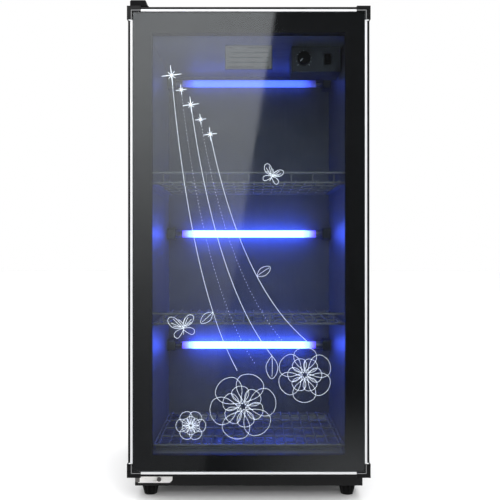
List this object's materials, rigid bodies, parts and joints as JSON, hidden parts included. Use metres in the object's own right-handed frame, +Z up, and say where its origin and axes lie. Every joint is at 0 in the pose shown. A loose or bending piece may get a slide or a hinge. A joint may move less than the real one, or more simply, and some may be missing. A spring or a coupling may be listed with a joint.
{
  "type": "hot towel cabinet",
  "caption": "Upright ultraviolet hot towel warmer for a salon, with a hinged double-glazed door, wire shelves, lamps across the back wall and a floor heater",
  "frame": {"origin": "floor level, midway across the width and the depth", "axes": "+Z up, the glass door faces -Y, +X is to the right as seen from the front"},
  "size_m": [0.444, 0.424, 0.926],
  "materials": {
    "black_steel": "satin powder coat",
    "rear_steel": "matt powder coat",
    "liner_aluminium": "grey anodised",
    "mouth_plastic": "fine moulded grain",
    "insulation": "glass wool blanket",
    "shelf_wire": "dark coated wire",
    "stainless": "brushed",
    "fixings": "bright nickel plate",
    "hinge_steel": "black coat",
    "lamp_glass": "ultraviolet lamp glass",
    "lamp_plastic": "moulded",
    "electrics": "moulded",
    "black_plastic": "moulded",
    "switch_plastic": "polished",
    "frame_black": "black anodised",
    "cap_black": "polished",
    "bright_trim": "bright anodised",
    "door_glass": "clear tempered",
    "glass_print": "fired black enamel",
    "seal_rubber": "soft black",
    "label_film": "plain film",
    "foot_plastic": "moulded"
  },
  "bodies": {
    "cabinet": {"base_pan": "black_steel", "left_side_panel": "black_steel", "right_side_panel": "black_steel", "top_panel": "black_steel", "rear_panel": "rear_steel", "rear_panel_screws": "fixings", "front_frame": "mouth_plastic", "liner_side_walls": "liner_aluminium", "liner_ceiling": "liner_aluminium", "liner_floor": "liner_aluminium", "liner_back_wall": "liner_aluminium", "insulation_sides": "insulation", "insulation_top": "insulation", "insulation_bottom": "insulation", "insulation_back": "insulation", "shelf_rails": "liner_aluminium", "upper_shelf_deck": "shelf_wire", "upper_shelf_fence": "shelf_wire", "middle_shelf_deck": "shelf_wire", "middle_shelf_fence": "shelf_wire", "bottom_rack": "shelf_wire", "drip_tray": "stainless", "heating_element": "stainless", "heater_clips": "stainless", "lamp_tubes": "lamp_glass", "lamp_end_caps": "stainless", "lamp_holders": "lamp_plastic", "lamp_ballasts": "electrics", "terminal_block": "electrics", "power_inlet": "black_plastic", "control_box": "lamp_plastic", "foot_blocks": "rear_steel", "top_hinge_bracket": "hinge_steel", "top_hinge_cover": "black_plastic", "bottom_hinge_bracket": "fixings", "hinge_pins": "fixings", "hinge_screws": "fixings"},
    "door": {"door_frame_left": "frame_black", "door_frame_right": "frame_black", "door_frame_top": "frame_black", "door_frame_bottom": "frame_black", "side_trim_strips": "bright_trim", "end_trim_strips": "bright_trim", "top_corner_caps": "cap_black", "bottom_corner_caps": "cap_black", "corner_cap_inlays": "bright_trim", "outer_glass": "door_glass", "printed_border": "glass_print", "inner_glass": "door_glass", "glass_spacer": "mouth_plastic", "door_gasket": "seal_rubber", "gasket_magnets": "stainless", "notice_label": "label_film", "hinge_bushes": "black_plastic"},
    "thermostat_dial": {"thermostat_knob": "black_plastic"},
    "switch_rocker": {"power_rocker": "switch_plastic"},
    "levelling_front_left": {"foot_front_left": "foot_plastic"},
    "levelling_front_right": {"foot_front_right": "foot_plastic"},
    "levelling_rear_left": {"foot_rear_left": "foot_plastic"},
    "levelling_rear_right": {"foot_rear_right": "foot_plastic"}
  },
  "joints": [
    {"name": "door_swing", "type": "hinge", "parent": "cabinet", "child": "door", "pos_m": [-0.206, -0.19, 0.46], "axis": [0, 0, -1], "range_deg": [0, 110]},
    {"name": "thermostat_turn", "type": "hinge", "parent": "cabinet", "child": "thermostat_dial", "pos_m": [0.109, -0.095, 0.848], "axis": [0, 1, 0], "range_deg": [0, 270]},
    {"name": "power_switch_rock", "type": "hinge", "parent": "cabinet", "child": "switch_rocker", "pos_m": [0.157, -0.0925, 0.848], "axis": [1, 0, 0], "range_deg": [0, 16]},
    {"name": "foot_front_left_level", "type": "slide", "parent": "cabinet", "child": "levelling_front_left", "axis": [0, 0, -1], "range_m": [0, 0.01]},
    {"name": "foot_front_right_level", "type": "slide", "parent": "cabinet", "child": "levelling_front_right", "axis": [0, 0, -1], "range_m": [0, 0.01]},
    {"name": "foot_rear_left_level", "type": "slide", "parent": "cabinet", "child": "levelling_rear_left", "axis": [0, 0, -1], "range_m": [0, 0.01]},
    {"name": "foot_rear_right_level", "type": "slide", "parent": "cabinet", "child": "levelling_rear_right", "axis": [0, 0, -1], "range_m": [0, 0.01]}
  ]
}
